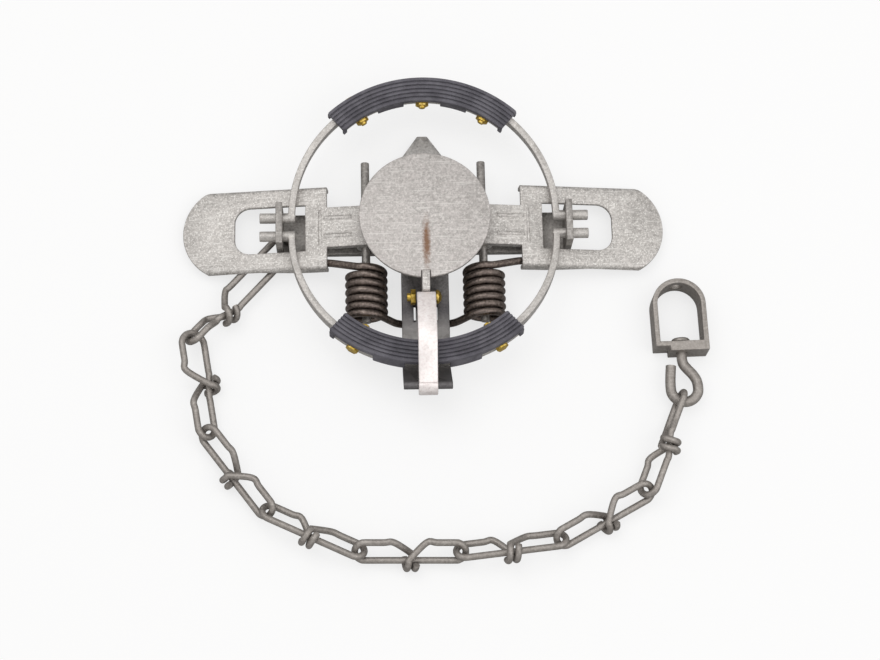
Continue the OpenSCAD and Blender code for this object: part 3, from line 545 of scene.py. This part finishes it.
def wrap_path(side, rolls, spine_start, spine_stop):
    """The end of the wire, which crosses the knot and wraps round the far half of the spine."""
    spine = (spine_stop - spine_start).normalized()
    points = []
    for i in range(WRAP_STEPS + 1):
        angle = WRAP_FROM + (WRAP_TO - WRAP_FROM) * i / WRAP_STEPS
        share = 0.5 - side * (WRAP_X + WRAP_DRIFT * (angle - 180)) / (2 * KNOT_HALF)
        out = across(0, 1, rolls[0] + (rolls[1] - rolls[0]) * share)
        out = (out - out.dot(spine) * spine).normalized()
        outward, onward = on_circle(WRAP_RADIUS, angle)
        points.append(spine_start.lerp(spine_stop, share) + outward * out
                      + side * onward * spine.cross(out))
    return points


def link_path(i, chain_z, hook_z):
    """Link i, counted from 0, about the middle of its knot, with its joints on X."""
    first_half, first_over, second_half, second_over = LOOP_HALF, TIP_OVER, LOOP_HALF, TIP_OVER
    first_length, second_length, second_drop = LINK_LENGTH / 2, LINK_LENGTH / 2, 0
    if i == 0:
        first_half, first_over = FIRST_HALF, FIRST_OVER
        first_length, second_length, second_drop = FIRST_LOOP, FIRST_TAIL, FIRST_Z - chain_z
    if i == 1:
        first_half, first_over = SECOND_HALF, SECOND_OVER
    if i == LINKS - 1:
        second_half, second_over, second_drop = LAST_HALF, LAST_OVER, chain_z - hook_z
    rolls = FIRST_ROLLS[i], SECOND_ROLLS[i]
    first = loop_path(-1, first_length, rolls[0], 0, first_half, first_over)
    second = loop_path(1, second_length, rolls[1], second_drop, second_half, second_over)
    near_end = wrap_path(-1, rolls, first[0], second[0])
    far_end = wrap_path(1, rolls, first[0], second[0])
    return list(reversed(first + near_end)) + second + far_end


chain_joints = [joint_point(f"chain_joint_{i}") for i in range(1, LINKS + 1)]
chain_joints.append(joint_point("hook_joint"))
swivel_z = joint_point("swivel").z
for i in range(LINKS):
    start = chain_joints[i]
    along = (chain_joints[i + 1] - start).to_2d().normalized()
    knot = start.to_2d() + along * (FIRST_LOOP if i == 0 else LINK_LENGTH / 2)
    knot_z = FIRST_Z if i == 0 else start.z
    place = (Matrix.Translation((knot.x, knot.y, knot_z))
             @ Matrix.Rotation(math.atan2(along.y, along.x), 4, "Z"))
    path = [place @ p for p in link_path(i, start.z, swivel_z)]
    link = bent_wire(f"knotted_link_{i + 1}", path, CHAIN_WIRE, CHAIN_STEEL)
    stand_for(link, f"chain_link_{i + 1}")


def swivel_place():
    """Puts the swivel's axis, along X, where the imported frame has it."""
    swivel = joint("swivel")
    heading = math.atan2(swivel["axis"][1], swivel["axis"][0])
    return Matrix.Translation(swivel["pos_m"]) @ Matrix.Rotation(heading, 4, "Z")


def skin(shape, rings):
    """Joins rings of points into a closed surface with flat ends."""
    rings = [[shape.verts.new(p) for p in ring] for ring in rings]
    count = len(rings[0])
    for near, far in zip(rings, rings[1:]):
        for k in range(count):
            shape.faces.new((near[k], near[(k + 1) % count], far[(k + 1) % count], far[k]))
    shape.faces.new(reversed(rings[0]))
    shape.faces.new(rings[-1])


def swivel_hook():
    """The hook bar, bent from one rod, with an upset head inside the strap."""
    path = [(x * MM, share * BOW_RADIUS) for x, share in HOOK_TIP]
    path += [on_circle(BOW_RADIUS, a) for a in BOW_ARC]
    path += [(x * MM, share * BOW_RADIUS) for x, share in HOOK_NECK] + [NECK_END]
    path += [(x * MM, 0) for x in HOOK_SHANK_MM]
    place = swivel_place()
    rod = bent_wire("hook_rod", [place @ Vector((x, y, 0)) for x, y in path], HOOK_BAR, CHAIN_STEEL,
                    steps=6, sides=24)
    shape = bmesh.new()
    shape.from_mesh(rod.data)
    turns = [360 * k / HEAD_SIDES for k in range(HEAD_SIDES)]
    skin(shape, [[place @ Vector((HEAD_START + x * MM, *on_circle(HEAD_RADIUS * share, turn)))
                  for turn in turns] for x, share in HEAD_RINGS])
    shape.to_mesh(rod.data)
    shape.free()
    shade_smooth(rod.data)
    return rod


stand_for(swivel_hook(), "swivel_hook")


# Rubber pads: a ribbed cap along the jaw, with flanges left off where the screws pass


def rib_profile():
    """Section of the cap, radius and height, with rounded ribs between the grooves."""
    pitch = PAD_WIDTH / (PAD_GROOVES + 1)
    corner = 0.3 * RIB_ROUND
    points = [(PAD_INNER, PAD_UNDER)]
    for i in range(PAD_GROOVES + 1):
        is_first, is_last = i == 0, i == PAD_GROOVES
        left = PAD_INNER + i * pitch + (0 if is_first else GROOVE_WIDTH / 2)
        right = PAD_INNER + (i + 1) * pitch - (0 if is_last else GROOVE_WIDTH / 2)
        left_foot = PAD_FACE - (2 * RIB_ROUND if is_first else GROOVE_DEPTH)
        right_foot = PAD_FACE - (2 * RIB_ROUND if is_last else GROOVE_DEPTH)
        points += [(left, left_foot), (left, PAD_FACE - RIB_ROUND),
                   (left + corner, PAD_FACE - corner), (left + RIB_ROUND, PAD_FACE),
                   (right - RIB_ROUND, PAD_FACE), (right - corner, PAD_FACE - corner),
                   (right, PAD_FACE - RIB_ROUND), (right, right_foot)]
    return points + [(PAD_OUTER, PAD_UNDER)]


def sweep(shape, profile, start, stop, steps, ease):
    """Sweeps a section about Z between two angles, drawn in a little at both ends."""
    centre_r = sum(r for r, z in profile) / len(profile)
    centre_z = sum(z for r, z in profile) / len(profile)
    inner = [start + ease + (stop - start - 2 * ease) * i / steps for i in range(steps + 1)]
    stations = [(start, END_SHARE)] + [(angle, 1) for angle in inner] + [(stop, END_SHARE)]
    skin(shape, [[(*on_circle(centre_r + (r - centre_r) * share, angle),
                   centre_z + (z - centre_z) * share) for r, z in profile]
                 for angle, share in stations])


def rubber_pad(name, pivot, turn):
    """One moulded pad, placed on its open jaw."""
    shape = bmesh.new()
    first, last = 90 - PAD_HALF, 90 + PAD_HALF
    sweep(shape, rib_profile(), first, last, PAD_STEPS, PAD_EASE)
    windows = [90 + angle + s * WINDOW_HALF for angle in SCREW_ANGLES for s in (-1, 1)]
    edges = [first] + windows + [last]
    top = PAD_UNDER + FLANGE_LAP
    for inner in (PAD_INNER, PAD_OUTER - FLANGE):
        outer = inner + FLANGE
        section = [(inner, PAD_HEM), (inner, top), (outer, top), (outer, PAD_HEM)]
        for start, stop in zip(edges[::2], edges[1::2]):
            steps = max(2, round((stop - start) / FLANGE_STEP))
            sweep(shape, section, start, stop, steps, FLANGE_EASE)
    bmesh.ops.recalc_face_normals(shape, faces=shape.faces)
    mesh = bpy.data.meshes.new(name)
    shape.to_mesh(mesh)
    shape.free()
    mesh.transform(Matrix.Rotation(turn, 4, "Z") @ Matrix.Translation((0, abs(pivot.y), pivot.z))
                   @ Matrix.Rotation(math.radians(JAW_TILT), 4, "X"))
    return new_piece(name, mesh, RUBBER)


for word, turn in (("rear", 0), ("front", math.pi)):
    pad = rubber_pad(word + "_ribbed_pad", joint_point(word + "_jaw_pivot"), turn)
    stand_for(pad, word + "_pad")


# Sheet, strip and fasteners: the nodes' own shapes with eased edges

for material, edge_mm, nodes in (
        (ZINC_SHEET, 0.45, ("left_lever", "right_lever")),
        (ZINC_BAR, 0.35, ("front_jaw", "rear_jaw")),
        (RUBBED_STRIP, 0.3, ("base_strip",)),
        (ROLLED_STRIP, 0.35, ("cross_strip",)),
        (ZINC_PAN, 0.45, ("pan",)),
        (ZINC_SHEET, 0.3, ("pan_shank",)),
        (BRIGHT_STRIP, 0.4, ("dog",)),
        (CHAIN_STEEL, 0.35, ("swivel_strap",)),
        (RUBBED_STRIP, 0.35, ("left_spring_pin", "right_spring_pin")),
        (YELLOW_BRASS, 0.25, ("front_pad_screws", "rear_pad_screws", "front_pad_nuts",
                              "rear_pad_nuts", "pan_bolt", "pan_nut")),
        (ROLLED_STRIP, 0.25, ("centre_rivets",))):
    for node in nodes:
        eased_edges(node, material, edge_mm)


# Stage: a white table, soft light from above, and the photograph's camera

TABLE_HALF = 3.0
TABLE_DROP = 0.15 * MM
# Share of the table that glows to the camera, and how much of that glow the metal misses
TABLE_GLOW, GLOW_LOST = 0.7, 0.85
LIGHT_AIM = Vector((0, -0.045, 0.01))
ROOM_STRENGTH = 0.72


def white_table():
    """A matt sheet, nearly white to the camera and darker in the metal, as in a room."""
    material, tree = blank_material("white_table")
    ray = add(tree, "ShaderNodeLightPath").outputs
    seen = add(tree, "ShaderNodeMath", {0: ray["Is Camera Ray"], 1: ray["Is Glossy Ray"]},
               operation="MAXIMUM").outputs[0]
    share = add(tree, "ShaderNodeMath", {0: seen, 1: TABLE_GLOW}, operation="MULTIPLY").outputs[0]
    strength = add(tree, "ShaderNodeMath", {0: ray["Is Glossy Ray"], 1: -GLOW_LOST, 2: 1.0},
                   operation="MULTIPLY_ADD").outputs[0]
    matt = add(tree, "ShaderNodeBsdfDiffuse", {"Color": linear("#f4f4f4")}).outputs[0]
    glow = add(tree, "ShaderNodeEmission", {"Color": linear("#ffffff"),
                                            "Strength": strength}).outputs[0]
    mixed = add(tree, "ShaderNodeMixShader", {0: share, 1: matt, 2: glow}).outputs[0]
    add(tree, "ShaderNodeOutputMaterial", {"Surface": mixed})
    mesh = bpy.data.meshes.new("white_table")
    corners = [(x * TABLE_HALF, y * TABLE_HALF, -TABLE_DROP)
               for x, y in ((-1, -1), (1, -1), (1, 1), (-1, 1))]
    mesh.from_pydata(corners, [], [(0, 1, 2, 3)])
    mesh.materials.append(material)
    table = bpy.data.objects.new("white_table", mesh)
    scene.collection.objects.link(table)


def soft_box(name, place, size, watts):
    """A square lamp, in metres and watts, aimed at the part."""
    lamp = bpy.data.lights.new(name, "AREA")
    lamp.shape, lamp.size, lamp.energy = "SQUARE", size, watts
    stand = bpy.data.objects.new(name, lamp)
    stand.location = place
    stand.rotation_euler = (LIGHT_AIM - Vector(place)).to_track_quat("-Z", "Y").to_euler()
    scene.collection.objects.link(stand)


white_table()
soft_box("key_softbox", (-0.45, 0.4, 1.5), size=1.2, watts=6.5)
soft_box("fill_softbox", (0.8, -0.3, 1.2), size=1.2, watts=5)
world = bpy.data.worlds.new("pale_room")
world.use_nodes = True
room = world.node_tree.nodes["Background"].inputs
room["Color"].default_value = linear("#f6f5f4")
room["Strength"].default_value = ROOM_STRENGTH
scene.world = world

# Camera, fitted to the pan, levers and jaws of the photograph
CAMERA_DISTANCE = 961.4 * MM
CAMERA_ELEVATION, CAMERA_AZIMUTH, CAMERA_ROLL = (math.radians(a) for a in (73.01, -6.53, 5.46))
CAMERA_TARGET = Vector((6.948, -48.494, 0)) * MM
FOCAL_PIXELS, IMAGE_WIDTH = 1983.4, 880
SENSOR_WIDTH_MM = 36
camera = bpy.data.cameras.new("photo_camera")
camera.sensor_width = SENSOR_WIDTH_MM
camera.lens = FOCAL_PIXELS / IMAGE_WIDTH * SENSOR_WIDTH_MM
camera_object = bpy.data.objects.new("photo_camera", camera)
level = math.cos(CAMERA_ELEVATION)
right = Vector((math.cos(CAMERA_AZIMUTH), math.sin(CAMERA_AZIMUTH), 0))
ahead = Vector((-math.sin(CAMERA_AZIMUTH) * level, math.cos(CAMERA_AZIMUTH) * level,
                -math.sin(CAMERA_ELEVATION)))
up = right.cross(ahead)
rolled_right = right * math.cos(CAMERA_ROLL) + up * math.sin(CAMERA_ROLL)
rolled_up = up * math.cos(CAMERA_ROLL) - right * math.sin(CAMERA_ROLL)
camera_object.matrix_world = (Matrix.Translation(CAMERA_TARGET - ahead * CAMERA_DISTANCE)
                              @ Matrix((rolled_right, rolled_up, -ahead)).transposed().to_4x4())
scene.collection.objects.link(camera_object)
scene.camera = camera_object
scene.view_settings.view_transform = "Standard"
